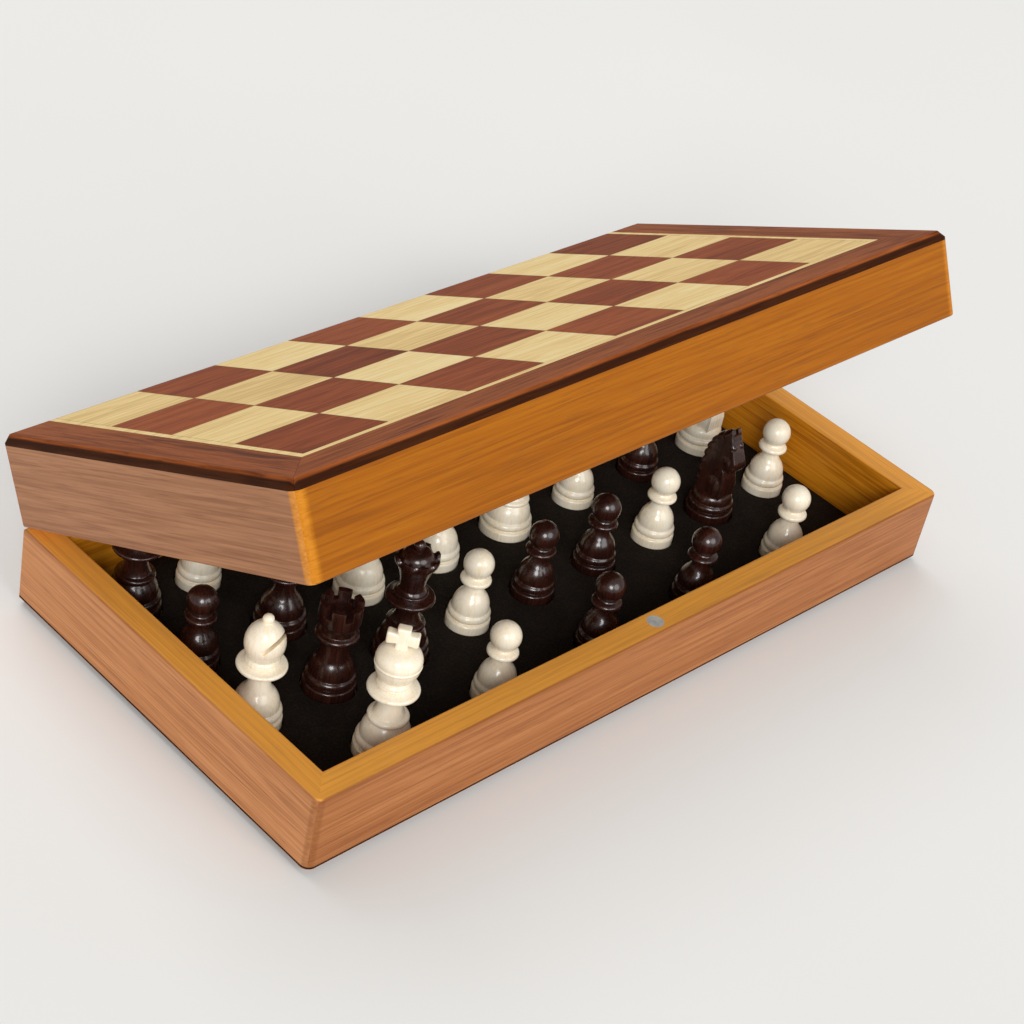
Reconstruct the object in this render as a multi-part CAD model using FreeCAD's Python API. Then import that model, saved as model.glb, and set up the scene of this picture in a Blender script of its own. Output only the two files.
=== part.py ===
import FreeCAD, Part
import os

os.makedirs("parts", exist_ok=True)

# Folding chess case. X runs along the hinge, Y from the front edge to the hinge edge, Z up.
# The origin is the middle of the tray's underside, which is one half of the playing board.

# Board face of each half
square = 32.5
columns = 8
rows = 4
stringing_width = 2.5
border_width = 17.5
border_bevel = 2.4
corner_round = 0.8
veneer_thickness = 0.6
panel_thickness = 2.6
lap_width = 5.0
lap_lip = 1.6

# Walls of each half
half_height = 31.0
wall_thickness = 10.0
rim_round = 0.8
rim_gap = 0.2
lid_rest_angle = 27.4

# Butt hinges let into the back rims
hinge_inset = 60.0
hinge_length = 36.0
leaf_width = 8.8
leaf_thickness = 1.2
knuckles = 3
knuckle_diameter = 4.4
knuckle_gap = 0.3
barrel_clearance = 0.4
axis_offset = 0.15
pin_diameter = 2.0
pin_clearance = 0.05
screws_per_leaf = 3
screw_diameter = 2.0
screw_head_diameter = 3.8
screw_head_depth = 0.9
screw_length = 9.0
slot_width = 0.5
slot_depth = 0.45

# Closing magnets in the front rims
magnet_diameter = 6.0
magnet_depth = 3.0

# Linings
foam_thickness = 3.0
felt_thickness = 0.8
socket_clearance = 0.4

# Socket rows: how far the end sockets of a row stand from the side walls
front_row_margin = 42.0
second_row_margin = 16.0
third_row_margin = 17.5
back_row_margin = 16.0

# Chess pieces: the king fills the closed case and the others step down from it
king_headroom = 2.0
queen_drop = 3.0
bishop_drop = 7.0
knight_drop = 11.0
rook_drop = 15.0
pawn_drop = 20.0
king_base = 19.5
queen_base = 19.0
bishop_base = 18.0
knight_base = 18.0
rook_base = 18.0
pawn_base = 15.5
foot_reveal = 3.0
cross_bar = 3.6
cross_width = 10.4
cross_height = 8.4
finial_radius = 1.9
pawn_ball_radius = 5.3
coronet_notches = 8
coronet_notch_radius = 1.3
mitre_slit = 1.3
battlement_slot = 2.6
mane_thickness = 9.0
ear_thickness = 5.0
king_heading = -50.0
bishop_heading = -65.0
knight_heading = 270.0

# Sizes that follow from the ones above
frame_width = border_width + stringing_width
length = columns * square + 2 * frame_width
depth = rows * square + frame_width
floor = veneer_thickness + panel_thickness
left = -length / 2
right = length / 2
front = -depth / 2
back = depth / 2
rim = half_height
axis_y = back + axis_offset
axis_z = half_height + rim_gap / 2
knuckle_radius = knuckle_diameter / 2
barrel_room = knuckle_radius + barrel_clearance
inner_left = left + wall_thickness
inner_right = right - wall_thickness
inner_front = front + wall_thickness
inner_back = back - wall_thickness
inner_length = inner_right - inner_left
king_height = 2 * (axis_z - floor) - felt_thickness - king_headroom
foot_height = foam_thickness + foot_reveal
hinge_centres = [left + hinge_inset, right - hinge_inset]

socket_rows = [
    (front_row_margin, [
        "white_king", "white_pawn_1", "dark_pawn_1", "dark_pawn_2", "white_pawn_2",
    ]),
    (second_row_margin, [
        "white_bishop_1", "dark_rook_1", "dark_queen", "white_pawn_3", "dark_pawn_3",
        "dark_pawn_4", "white_pawn_4", "dark_knight_1", "white_pawn_5",
    ]),
    (third_row_margin, [
        "dark_pawn_5", "dark_bishop_1", "white_rook_1", "white_bishop_2", "white_queen",
        "white_pawn_6", "dark_pawn_6", "white_knight_1",
    ]),
    (back_row_margin, [
        "dark_king", "white_pawn_7", "dark_rook_2", "white_rook_2", "dark_knight_2",
        "dark_pawn_7", "white_knight_2", "white_pawn_8", "dark_pawn_8", "dark_bishop_2",
    ]),
]


def vector(x, y, z):
    return FreeCAD.Vector(x, y, z)


def box(x0, x1, y0, y1, z0, z1):
    return Part.makeBox(x1 - x0, y1 - y0, z1 - z0, vector(x0, y0, z0))


def prism(corners, z0, z1):
    points = [vector(x, y, z0) for x, y in corners]
    face = Part.Face(Part.makePolygon(points + points[:1]))
    return face.extrude(vector(0, 0, z1 - z0))


def rod_along_x(x0, x1, y, z, radius):
    return Part.makeCylinder(radius, x1 - x0, vector(x0, y, z), vector(1, 0, 0))


def on_lid(shape):
    # The lid is the tray's mirror image in the closing plane, swung open about the hinge axis.
    closed = shape.mirror(vector(0, 0, axis_z), vector(0, 0, 1))
    closed.rotate(vector(0, axis_y, axis_z), vector(-1, 0, 0), lid_rest_angle)
    return closed


def export(node, shapes):
    whole = shapes[0] if len(shapes) == 1 else Part.makeCompound(shapes)
    whole.exportStep("parts/" + node + ".step")


def outer_block(z0, z1):
    # The case's plan shape, with its two front corners rounded.
    block = box(left, right, front, back, z0, z1)
    corners = [
        edge for edge in block.Edges
        if edge.BoundBox.ZLength > edge.BoundBox.XLength and edge.BoundBox.YMax < 0
    ]
    return block.makeFillet(border_bevel + corner_round, corners)


def edges_at(shape, z):
    near = 1e-4
    return [
        edge for edge in shape.Edges
        if abs(edge.BoundBox.ZMin - z) < near and abs(edge.BoundBox.ZMax - z) < near
    ]


def mitred(shape, inset, z0, z1):
    # Cuts a frame into its front, left, right and back members along 45 degree mitres.
    x0, x1 = left + inset, right - inset
    y0, y1 = front + inset, back - inset
    plans = [
        [(left, front), (right, front), (x1, y0), (x0, y0)],
        [(left, front), (x0, y0), (x0, y1), (left, back)],
        [(right, front), (right, back), (x1, y1), (x1, y0)],
        [(left, back), (x0, y1), (x1, y1), (right, back)],
    ]
    return [shape.common(prism(plan, z0, z1)).Solids[0] for plan in plans]


def walls():
    ring = outer_block(floor, rim)
    ring = ring.cut(box(inner_left, inner_right, inner_front, inner_back, floor, rim))
    ring = ring.makeFillet(rim_round, edges_at(ring, rim))
    front_wall, left_wall, right_wall, back_wall = mitred(ring, wall_thickness, floor, rim)
    front_wall = front_wall.cut(magnet())
    for centre in hinge_centres:
        back_wall = back_wall.cut(hinge_mortise(centre))
        for screw_x in screw_places(centre):
            back_wall = back_wall.cut(screw_blank(screw_x))
    return front_wall, left_wall, right_wall, back_wall.Solids[0]


def border():
    # Three strips round the squares; their inner edge is rebated to carry the panel's lap.
    plate = outer_block(0, floor)
    outline = [edge for edge in edges_at(plate, 0) if edge.BoundBox.YMin < back - border_bevel]
    plate = plate.makeChamfer(border_bevel, outline)
    plate = plate.cut(box(*square_field(stringing_width), 0, lap_lip))
    plate = plate.cut(box(*square_field(stringing_width + lap_width), lap_lip, floor))
    corner_x = left + border_width
    corner_y = front + border_width
    plans = [
        [(left, front), (right, front), (-corner_x, corner_y), (corner_x, corner_y)],
        [(left, front), (corner_x, corner_y), (corner_x, back), (left, back)],
        [(right, front), (right, back), (-corner_x, back), (-corner_x, corner_y)],
    ]
    return [plate.common(prism(plan, 0, floor)).Solids[0] for plan in plans]


def square_field(margin):
    # The area of the squares, grown by a margin on the three framed sides.
    half_field = columns * square / 2 + margin
    return -half_field, half_field, back - rows * square - margin, back


def panel():
    core = box(*square_field(stringing_width), veneer_thickness, lap_lip)
    lap = box(*square_field(stringing_width + lap_width), lap_lip, floor)
    return core.fuse(lap).removeSplitter().Solids[0]


def stringing():
    x0, x1, y0, y1 = square_field(0)
    u0, u1, v0, v1 = square_field(stringing_width)
    plans = [
        [(u0, v0), (u1, v0), (x1, y0), (x0, y0)],
        [(u0, v0), (x0, y0), (x0, y1), (u0, v1)],
        [(u1, v0), (u1, v1), (x1, y1), (x1, y0)],
    ]
    return [prism(plan, 0, veneer_thickness) for plan in plans]


def squares(parity):
    x0, _, y0, _ = square_field(0)
    tiles = []
    for row in range(rows):
        for column in range(columns):
            if (row + column) % 2 == parity:
                x = x0 + column * square
                y = y0 + row * square
                tiles.append(box(x, x + square, y, y + square, 0, veneer_thickness))
    return tiles


def magnet():
    middle = front + wall_thickness / 2
    return Part.makeCylinder(magnet_diameter / 2, magnet_depth, vector(0, middle, rim - magnet_depth))


def screw_places(centre):
    pitch = hinge_length / screws_per_leaf
    return [centre + (k - (screws_per_leaf - 1) / 2) * pitch for k in range(screws_per_leaf)]


def screw_blank(x):
    # A countersunk screw lying flush with the leaf, midway between the barrel and the leaf's free edge.
    y = axis_y - (barrel_room + leaf_width) / 2
    head = Part.makeCone(screw_diameter / 2, screw_head_diameter / 2, screw_head_depth,
                         vector(x, y, rim - screw_head_depth))
    shank = Part.makeCylinder(screw_diameter / 2, screw_length - screw_head_depth,
                              vector(x, y, rim - screw_length))
    return head.fuse(shank).removeSplitter()


def screw(x):
    y = axis_y - (barrel_room + leaf_width) / 2
    reach = screw_head_diameter / 2
    slot = box(x - reach, x + reach, y - slot_width / 2, y + slot_width / 2, rim - slot_depth, rim)
    return screw_blank(x).cut(slot).Solids[0]


def hinge_mortise(centre):
    x0 = centre - hinge_length / 2
    x1 = centre + hinge_length / 2
    seat = box(x0, x1, axis_y - leaf_width, axis_y, rim - leaf_thickness, rim)
    groove = rod_along_x(x0 - barrel_clearance, x1 + barrel_clearance, axis_y, axis_z, barrel_room)
    return seat.fuse(groove)


def leaf(centre, parity, bore_radius):
    # The knuckles stand in line: a leaf carries every other one and is cut back round the rest.
    x0 = centre - hinge_length / 2
    pitch = hinge_length / knuckles
    plate = box(x0, x0 + hinge_length, axis_y - leaf_width, axis_y, rim - leaf_thickness, rim)
    for k in range(knuckles):
        start = x0 + k * pitch
        end = start + pitch
        if k % 2 == parity:
            start += knuckle_gap / 2 if k > 0 else 0
            end -= knuckle_gap / 2 if k < knuckles - 1 else 0
            plate = plate.fuse(rod_along_x(start, end, axis_y, axis_z, knuckle_radius))
        else:
            room = rod_along_x(start - knuckle_gap / 2, end + knuckle_gap / 2, axis_y, axis_z, barrel_room)
            plate = plate.cut(room)
    for screw_x in screw_places(centre):
        plate = plate.cut(screw_blank(screw_x))
    plate = plate.cut(rod_along_x(x0, x0 + hinge_length, axis_y, axis_z, bore_radius))
    return plate.removeSplitter().Solids[0]


def hinge_pin(centre):
    x0 = centre - hinge_length / 2
    return rod_along_x(x0, x0 + hinge_length, axis_y, axis_z, pin_diameter / 2)


def path_edges(start, outline, radius, height):
    # Joins the steps of an outline. Its numbers are shares of the base radius and of the height
    # above the plain foot: two for the end of a straight stretch, four for a point on an arc and
    # the arc's end.
    edges = []
    for step in outline:
        end = above_foot(step[-2], step[-1], radius, height)
        if len(step) == 4:
            through = above_foot(step[0], step[1], radius, height)
            edges.append(Part.Arc(start, through, end).toShape())
        else:
            edges.append(Part.LineSegment(start, end).toShape())
        start = end
    return edges


def turned(outline, radius, height):
    # Revolves the foot and the outline above it, which ends on the axis.
    corners = [vector(0, 0, 0), vector(radius, 0, 0), vector(radius, 0, foot_height)]
    edges = [Part.LineSegment(a, b).toShape() for a, b in zip(corners, corners[1:])]
    edges += path_edges(corners[-1], outline + [(0, outline[-1][-1])], radius, height)
    edges.append(Part.LineSegment(edges[-1].lastVertex().Point, corners[0]).toShape())
    return Part.Face(Part.Wire(edges)).revolve(vector(0, 0, 0), vector(0, 0, 1), 360)


def above_foot(share, level, radius, height):
    return vector(share * radius, 0, foot_height + level * (height - foot_height))


def turned_to(shape, heading):
    shape.rotate(vector(0, 0, 0), vector(0, 0, 1), heading)
    return shape


def ball_on_top(height, radius):
    return Part.makeSphere(radius, vector(0, 0, height - radius))


def ball_level(height, radius):
    # Where the middle of a ball on top lies, as a share of the height above the foot.
    return 1 - radius / (height - foot_height)


def pawn(height, radius):
    outline = [
        (0.87, 0.01), (0.96, 0.065, 0.87, 0.12), (0.84, 0.13), (0.79, 0.25, 0.56, 0.36),
        (0.43, 0.43, 0.39, 0.51), (0.60, 0.535), (0.70, 0.57, 0.62, 0.605), (0.45, 0.62),
        (0.40, ball_level(height, pawn_ball_radius)),
    ]
    return turned(outline, radius, height).fuse(ball_on_top(height, pawn_ball_radius))


def rook(height, radius):
    outline = [
        (0.87, 0.01), (0.96, 0.055, 0.87, 0.105), (0.84, 0.11), (0.79, 0.21, 0.62, 0.30),
        (0.54, 0.40, 0.53, 0.53), (0.74, 0.56), (0.81, 0.59, 0.74, 0.62), (0.64, 0.65),
        (0.66, 0.72, 0.80, 0.77), (0.80, 1), (0.54, 1), (0.54, 0.86),
    ]
    tower = turned(outline, radius, height)
    slot_floor = above_foot(0, 0.89, radius, height).z
    for angle in (0, 60, 120):
        slot = box(-radius, radius, -battlement_slot / 2, battlement_slot / 2, slot_floor, height)
        tower = tower.cut(turned_to(slot, angle))
    return tower


def bishop(height, radius):
    outline = [
        (0.87, 0.008), (0.96, 0.045, 0.87, 0.085), (0.84, 0.09), (0.78, 0.17, 0.54, 0.25),
        (0.42, 0.31, 0.38, 0.38), (0.49, 0.448, 0.82, 0.482), (0.92, 0.50, 0.82, 0.52),
        (0.54, 0.55), (0.48, 0.575), (0.74, 0.72, 0.20, 0.93),
        (0.14, ball_level(height, finial_radius)),
    ]
    body = turned(outline, radius, height).fuse(ball_on_top(height, finial_radius))
    slit = box(0, radius, -radius, radius, -mitre_slit / 2, mitre_slit / 2)
    slit.rotate(vector(0, 0, 0), vector(0, 1, 0), -50)
    slit.translate(above_foot(0.2, 0.72, radius, height))
    return turned_to(body.cut(slit), bishop_heading)


def royal_stem():
    return [
        (0.87, 0.007), (0.96, 0.04, 0.87, 0.073), (0.84, 0.078), (0.79, 0.15, 0.60, 0.21),
        (0.66, 0.22), (0.70, 0.238, 0.66, 0.256), (0.54, 0.266), (0.44, 0.32, 0.42, 0.385),
        (0.51, 0.445, 0.80, 0.462), (0.88, 0.48, 0.80, 0.498), (0.52, 0.535), (0.44, 0.565),
    ]


def king(height, radius):
    outline = royal_stem() + [(0.67, 0.62, 0.77, 0.70), (0.70, 0.785, 0.42, 0.825), (0.20, 0.835)]
    body = turned(outline, radius, height)
    half_bar = cross_bar / 2
    body_top = above_foot(0, outline[-1][-1], radius, height).z
    post = box(-half_bar, half_bar, -half_bar, half_bar, body_top - half_bar, height)
    arm_level = height - cross_height / 2
    half_width = cross_width / 2
    arms = box(-half_width, half_width, -half_bar, half_bar, arm_level - half_bar, arm_level + half_bar)
    return turned_to(body.fuse(post).fuse(arms), king_heading)


def queen(height, radius):
    outline = royal_stem() + [
        (0.52, 0.69, 0.79, 0.82), (0.76, 0.86), (0.62, 0.86), (0.40, 0.91, 0.16, 0.92),
        (0.13, ball_level(height, finial_radius)),
    ]
    body = turned(outline, radius, height)
    notch_foot = above_foot(0.79, 0.83, radius, height)
    for k in range(coronet_notches):
        notch = Part.makeCylinder(coronet_notch_radius, height - notch_foot.z, notch_foot)
        body = body.cut(turned_to(notch, k * 360 / coronet_notches))
    return body.fuse(ball_on_top(height, finial_radius))


def side_slab(reach, thickness, level):
    half = thickness / 2
    corners = [(-reach, -half), (reach, -half), (reach, half), (-reach, half)]
    points = [vector(x, y, level) for x, y in corners]
    return Part.makePolygon(points + points[:1])


def knight(height, radius):
    # A turned plinth with the horse's head cut from a slab that thins towards the ears.
    rings = [(0.87, 0.01), (0.96, 0.05, 0.87, 0.095), (0.84, 0.10), (0.83, 0.15, 0.74, 0.19)]
    plinth = turned(rings, radius, height)
    foot_level = 0.15
    outline = [
        (0.67, 0.36, 0.36, 0.56), (0.62, 0.54), (0.84, 0.56), (0.95, 0.61, 0.88, 0.68),
        (0.44, 0.90), (0.30, 1), (0.10, 0.91), (-0.66, 0.62, -0.62, foot_level),
    ]
    start = above_foot(0.62, foot_level, radius, height)
    edges = path_edges(start, outline, radius, height)
    edges.append(Part.LineSegment(edges[-1].lastVertex().Point, start).toShape())
    side = Part.Face(Part.Wire(edges))
    side.translate(vector(0, -mane_thickness / 2, 0))
    head = side.extrude(vector(0, mane_thickness, 0))
    sections = [side_slab(radius, mane_thickness, start.z), side_slab(radius, ear_thickness, height)]
    return turned_to(plinth.fuse(head.common(Part.makeLoft(sections, True, True))), knight_heading)


piece_kinds = {
    "king": (king, king_height, king_base),
    "queen": (queen, king_height - queen_drop, queen_base),
    "bishop": (bishop, king_height - bishop_drop, bishop_base),
    "knight": (knight, king_height - knight_drop, knight_base),
    "rook": (rook, king_height - rook_drop, rook_base),
    "pawn": (pawn, king_height - pawn_drop, pawn_base),
}


def socket_places():
    places = {}
    row_pitch = (inner_back - inner_front) / len(socket_rows)
    for row, (margin, names) in enumerate(socket_rows):
        y = inner_front + (row + 0.5) * row_pitch
        pitch = (inner_length - 2 * margin) / (len(names) - 1)
        for column, name in enumerate(names):
            places[name] = (inner_left + margin + column * pitch, y)
    return places


def socket_foam(places):
    sheet = box(inner_left, inner_right, inner_front, inner_back, floor, floor + foam_thickness)
    holes = []
    for name, (x, y) in places.items():
        _, _, base = piece_kinds[name.split("_")[1]]
        holes.append(Part.makeCylinder(base / 2 + socket_clearance, foam_thickness, vector(x, y, floor)))
    return sheet.cut(Part.makeCompound(holes)).Solids[0]


def lid_felt():
    return box(inner_left, inner_right, inner_front, inner_back, floor, floor + felt_thickness)


front_wall, left_wall, right_wall, back_wall = walls()
half = {
    "front_wall": [front_wall],
    "left_wall": [left_wall],
    "right_wall": [right_wall],
    "back_wall": [back_wall],
    "border": border(),
    "panel": [panel()],
    "stringing": stringing(),
    "magnet": [magnet()],
    "hinge_screws": [screw(x) for centre in hinge_centres for x in screw_places(centre)],
}
for name, shapes in half.items():
    export("tray_" + name, shapes)
    export("lid_" + name, [on_lid(shape) for shape in shapes])

# The two halves' squares alternate across the hinge line when the board is unfolded.
export("tray_light_squares", squares(0))
export("tray_dark_squares", squares(1))
export("lid_dark_squares", [on_lid(tile) for tile in squares(0)])
export("lid_light_squares", [on_lid(tile) for tile in squares(1)])

pin_radius = pin_diameter / 2
export("tray_hinge_leaves", [leaf(centre, 0, pin_radius) for centre in hinge_centres])
running_bore = pin_radius + pin_clearance
export("lid_hinge_leaves", [on_lid(leaf(centre, 1, running_bore)) for centre in hinge_centres])
export("hinge_pins", [hinge_pin(centre) for centre in hinge_centres])

places = socket_places()
export("socket_foam", [socket_foam(places)])
export("lid_felt", [on_lid(lid_felt())])

turned_kinds = {}
for kind, (make, height, base) in piece_kinds.items():
    turned_kinds[kind] = make(height, base / 2).removeSplitter().Solids[0]
for name, (x, y) in places.items():
    piece = turned_kinds[name.split("_")[1]].copy()
    piece.translate(vector(x, y, floor))
    export(name, [piece])
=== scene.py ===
import bmesh
import bpy
import math
from mathutils import Matrix, Vector


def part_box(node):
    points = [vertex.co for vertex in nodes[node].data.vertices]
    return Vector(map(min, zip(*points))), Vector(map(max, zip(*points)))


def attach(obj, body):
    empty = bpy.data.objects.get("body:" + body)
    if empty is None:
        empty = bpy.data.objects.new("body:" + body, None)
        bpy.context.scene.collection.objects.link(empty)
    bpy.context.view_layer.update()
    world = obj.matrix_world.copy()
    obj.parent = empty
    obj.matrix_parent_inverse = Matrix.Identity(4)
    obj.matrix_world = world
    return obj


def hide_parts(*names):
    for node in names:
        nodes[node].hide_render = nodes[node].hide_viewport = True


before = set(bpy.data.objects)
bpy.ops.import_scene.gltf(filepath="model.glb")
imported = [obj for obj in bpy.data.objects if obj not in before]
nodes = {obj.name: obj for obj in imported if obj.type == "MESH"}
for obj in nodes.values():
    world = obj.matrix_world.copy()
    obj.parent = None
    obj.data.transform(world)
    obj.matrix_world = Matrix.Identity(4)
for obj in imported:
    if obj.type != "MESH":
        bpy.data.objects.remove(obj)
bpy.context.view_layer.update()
mm = 0.001
print("case loaded:", len(nodes), "parts")

case = {
    "halfLength": 150 * mm,
    "halfDepth": 75 * mm,
    "frameWidth": 20 * mm,
    "square": 32.5 * mm,
    "borderBevel": 2.4 * mm,
    "hingeAxis": (0, 75.15 * mm, 31.1 * mm),
    "lidAngle": 27.4,
}
fieldLeft = -4 * case["square"]
fieldFront = case["frameWidth"] - case["halfDepth"]
closingLevel = case["hingeAxis"][2]
halves = (("tray", False), ("lid", True))  # and whether it is the lid


def deselectAll():
    if bpy.context.mode != "OBJECT":
        bpy.ops.object.mode_set(mode="OBJECT")
    bpy.ops.object.select_all(action="DESELECT")


def activate(piece):
    deselectAll()
    piece.select_set(True)
    bpy.context.view_layer.objects.active = piece


def editMode(piece):
    activate(piece)
    bpy.ops.object.mode_set(mode="EDIT")
    bpy.ops.mesh.select_all(action="DESELECT")


def pickFaces(test):
    bpy.ops.mesh.select_mode(type="FACE")
    bpy.ops.mesh.select_all(action="DESELECT")
    mesh = bpy.context.object.data
    draft = bmesh.from_edit_mesh(mesh)
    for face in draft.faces:
        face.select_set(test(face.calc_center_median(), face.normal))
    bmesh.update_edit_mesh(mesh)


def finishWith(piece, kind, **settings):
    activate(piece)
    bpy.ops.object.modifier_add(type=kind)
    modifier = piece.modifiers[-1]
    for key, value in settings.items():
        setattr(modifier, key, value)
    bpy.ops.object.modifier_apply(modifier=modifier.name)


def cutWith(piece, tool, operation="DIFFERENCE"):
    finishWith(piece, "BOOLEAN", object=tool, operation=operation, solver="EXACT")
    bpy.data.objects.remove(tool)


def joined(pieces):
    deselectAll()
    for piece in pieces:
        piece.select_set(True)
    bpy.context.view_layer.objects.active = pieces[0]
    bpy.ops.object.join()
    return pieces[0]


def applyPlace(piece):
    activate(piece)
    bpy.ops.object.transform_apply(location=True, rotation=True, scale=True)


def smoothSides(piece, angle):
    activate(piece)
    bpy.ops.object.shade_smooth_by_angle(angle=math.radians(angle))


def block(name, low, high):
    deselectAll()
    middle = [(a + b) / 2 for a, b in zip(low, high)]
    size = [b - a for a, b in zip(low, high)]
    bpy.ops.mesh.primitive_cube_add(size=1, location=middle)
    piece = bpy.context.object
    piece.name = name
    piece.scale = size
    applyPlace(piece)
    return piece


def inMetres(millimetres):
    return [length * mm for length in millimetres]


def bead(name, middle, radii, rings=16):
    deselectAll()
    bpy.ops.mesh.primitive_uv_sphere_add(segments=2 * rings, ring_count=rings, radius=1, location=middle)
    piece = bpy.context.object
    piece.name = name
    piece.scale = radii
    applyPlace(piece)
    return piece


# Shading: arithmetic on a wire adds Math nodes
class Wire:
    def __init__(self, tree, socket=None):
        self.tree = tree
        self.socket = socket

    def node(self, kind, settings, sockets, out=0):
        made = self.tree.nodes.new(kind)
        for key, value in settings.items():
            if key == "stops":
                stops = made.color_ramp.elements
                while len(stops) < len(value):
                    stops.new(0.5)
                for stop, (place, colour) in zip(stops, value):
                    stop.position = place
                    stop.color = colour
            else:
                setattr(made, key, value)
        for key, value in sockets.items():
            if isinstance(value, Wire):
                self.tree.links.new(value.socket, made.inputs[key])
            else:
                made.inputs[key].default_value = value
        return Wire(self.tree, made.outputs[out] if made.outputs else None)

    def math(self, operation, *values):
        return self.node("ShaderNodeMath", {"operation": operation}, dict(enumerate(values)))

    def __add__(self, other):
        return self.math("ADD", self, other)

    def __radd__(self, other):
        return self.math("ADD", other, self)

    def __sub__(self, other):
        return self.math("SUBTRACT", self, other)

    def __rsub__(self, other):
        return self.math("SUBTRACT", other, self)

    def __mul__(self, other):
        return self.math("MULTIPLY", self, other)

    def __rmul__(self, other):
        return self.math("MULTIPLY", other, self)

    def __truediv__(self, other):
        return self.math("DIVIDE", self, other)

    def __rtruediv__(self, other):
        return self.math("DIVIDE", other, self)

    def __abs__(self):
        return self.math("ABSOLUTE", self)

    def sine(self):
        return self.math("SINE", self)

    def fraction(self):
        return self.math("FRACT", self)

    def whole(self):
        return self.math("FLOOR", self)

    def larger(self, other):
        return self.math("MAXIMUM", self, other)

    def smaller(self, other):
        return self.math("MINIMUM", self, other)

    def step(self, low, high):
        return self.node("ShaderNodeMapRange", {"interpolation_type": "SMOOTHSTEP"},
                         {"Value": self, "From Min": low, "From Max": high, "To Min": 0, "To Max": 1})

    def axes(self):
        return [self.node("ShaderNodeSeparateXYZ", {}, {"Vector": self}, k) for k in range(3)]

    def moved(self, scale=(1, 1, 1), shift=(0, 0, 0), turn=(0, 0, 0)):
        return self.node("ShaderNodeMapping", {},
                         {"Vector": self, "Scale": scale, "Location": shift, "Rotation": turn})

    def noise(self, scale, detail=2, roughness=0.5):
        return self.node("ShaderNodeTexNoise", {},
                         {"Vector": self, "Scale": scale, "Detail": detail, "Roughness": roughness})

    def ramp(self, *stops):
        return self.node("ShaderNodeValToRGB", {"stops": stops}, {"Fac": self})

    def blended(self, other, share):
        return self.node("ShaderNodeMix", {"data_type": "RGBA"}, {0: share, 6: self, 7: other}, 2)


def colour(red, green, blue):
    def linear(value):
        share = value / 255
        return share / 12.92 if share <= 0.04045 else ((share + 0.055) / 1.055) ** 2.4
    return (linear(red), linear(green), linear(blue), 1)


def newFinish(name):
    material = bpy.data.materials.new(name)
    material.use_nodes = True
    material.node_tree.nodes.clear()
    return material, Wire(material.node_tree)


def surface(wire, base, roughness, height, relief, **fixed):
    # relief is how far the bump's full height stands out, in metres
    normal = wire.node("ShaderNodeBump", {}, {"Strength": 1, "Distance": relief, "Height": height})
    sockets = {"Base Color": base, "Roughness": roughness, "Normal": normal}
    sockets.update({key.replace("_", " "): value for key, value in fixed.items()})
    shader = wire.node("ShaderNodeBsdfPrincipled", {}, sockets)
    wire.node("ShaderNodeOutputMaterial", {}, {"Surface": shader})


def caseCoordinates(wire, onLid):
    place = wire.node("ShaderNodeTexCoord", {}, {}, "Object")
    if not onLid:
        return place
    # the lid's pattern is swung back to the closed case, so that it runs along the lid's own edges
    turn = math.radians(case["lidAngle"])
    pivot = Vector(case["hingeAxis"])
    shift = pivot - Matrix.Rotation(turn, 3, "X") @ pivot
    return place.moved(shift=shift, turn=(turn, 0, 0))


def drawnOut(place, along, length, seed):
    scale = [1, 1, 1]
    scale["xyz".index(along)] = 1 / length
    return place.moved(scale=scale, shift=(seed, seed * 0.71, seed * 1.37))


def grain(place, along, wood, seed):
    # a broad figure, the growth lines that follow it, and fine fibres
    figure = drawnOut(place, along, wood["figureLength"], seed).noise(wood["figureScale"], 3)
    lines = (figure * wood["lineCount"]).sine() * 0.5 + 0.5
    fibre = drawnOut(place, along, wood["fibreLength"], seed + 3).noise(wood["fibreScale"], 2, 0.6)
    pores = drawnOut(place, along, wood["poreLength"], seed + 7).noise(wood["poreScale"], 1)
    tone = figure * wood["figureShare"] + lines * wood["lineShare"] + fibre * wood["fibreShare"]
    return tone, fibre, pores.step(0.60, 0.72)


def tones(dark, middle, light):
    return (0.28, colour(*dark)), (0.5, colour(*middle)), (0.72, colour(*light))


caseWood = {
    "figureLength": 34, "figureScale": 120, "lineCount": 75,
    "fibreLength": 70, "fibreScale": 1300, "poreLength": 34, "poreScale": 2800,
    "figureShare": 0.34, "lineShare": 0.12, "fibreShare": 0.54,
    "tan": ((136, 77, 35), (167, 103, 53), (186, 123, 71)),
    "rose": ((161, 100, 58), (196, 130, 79), (215, 152, 100)),
    # the next two are painted light for the lid: a painted shaded copy of the side tones and a painted lit
    # copy of the front tones
    "dusk": ((134, 86, 54), (166, 113, 77), (184, 132, 94)),
    "golden": ((136, 72, 1), (161, 90, 2), (175, 104, 4)),
    # painted highlight for the lid's rounded front corners
    "glow": ((184, 106, 6), (223, 142, 19), (240, 167, 40)),
    "honey": ((159, 88, 13), (211, 132, 25), (234, 161, 46)),
    # painted highlight for the closing edge's top
    "rim": (246, 180, 92),
    # painted shade for the tray's rounded corners
    "worn": (127, 77, 42),
    "pore": (100, 56, 25),
    # painted shade for the closing edge's outer round
    "handled": (120, 70, 24),
    "poreShare": 0.30, "cornerShare": 0.55, "rimShare": 0.45,
}
varnish = {"Coat_Weight": 0.06, "Coat_Roughness": 0.2, "Specular_IOR_Level": 0.18}
# where the wall's shades fade in: from the closing level, or outwards to the outer faces
wallFades = {
    "rim": (0.2 * mm, 1.0 * mm),
    "outer": (-0.9 * mm, -0.2 * mm),
    "corner": (-3.4 * mm, -2.2 * mm),
    # where the painted highlight beside the lid's front corners fades in
    "glowEnd": (-5 * mm, -2.5 * mm),
    "glowFront": (-0.6 * mm, 0),
}


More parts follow.
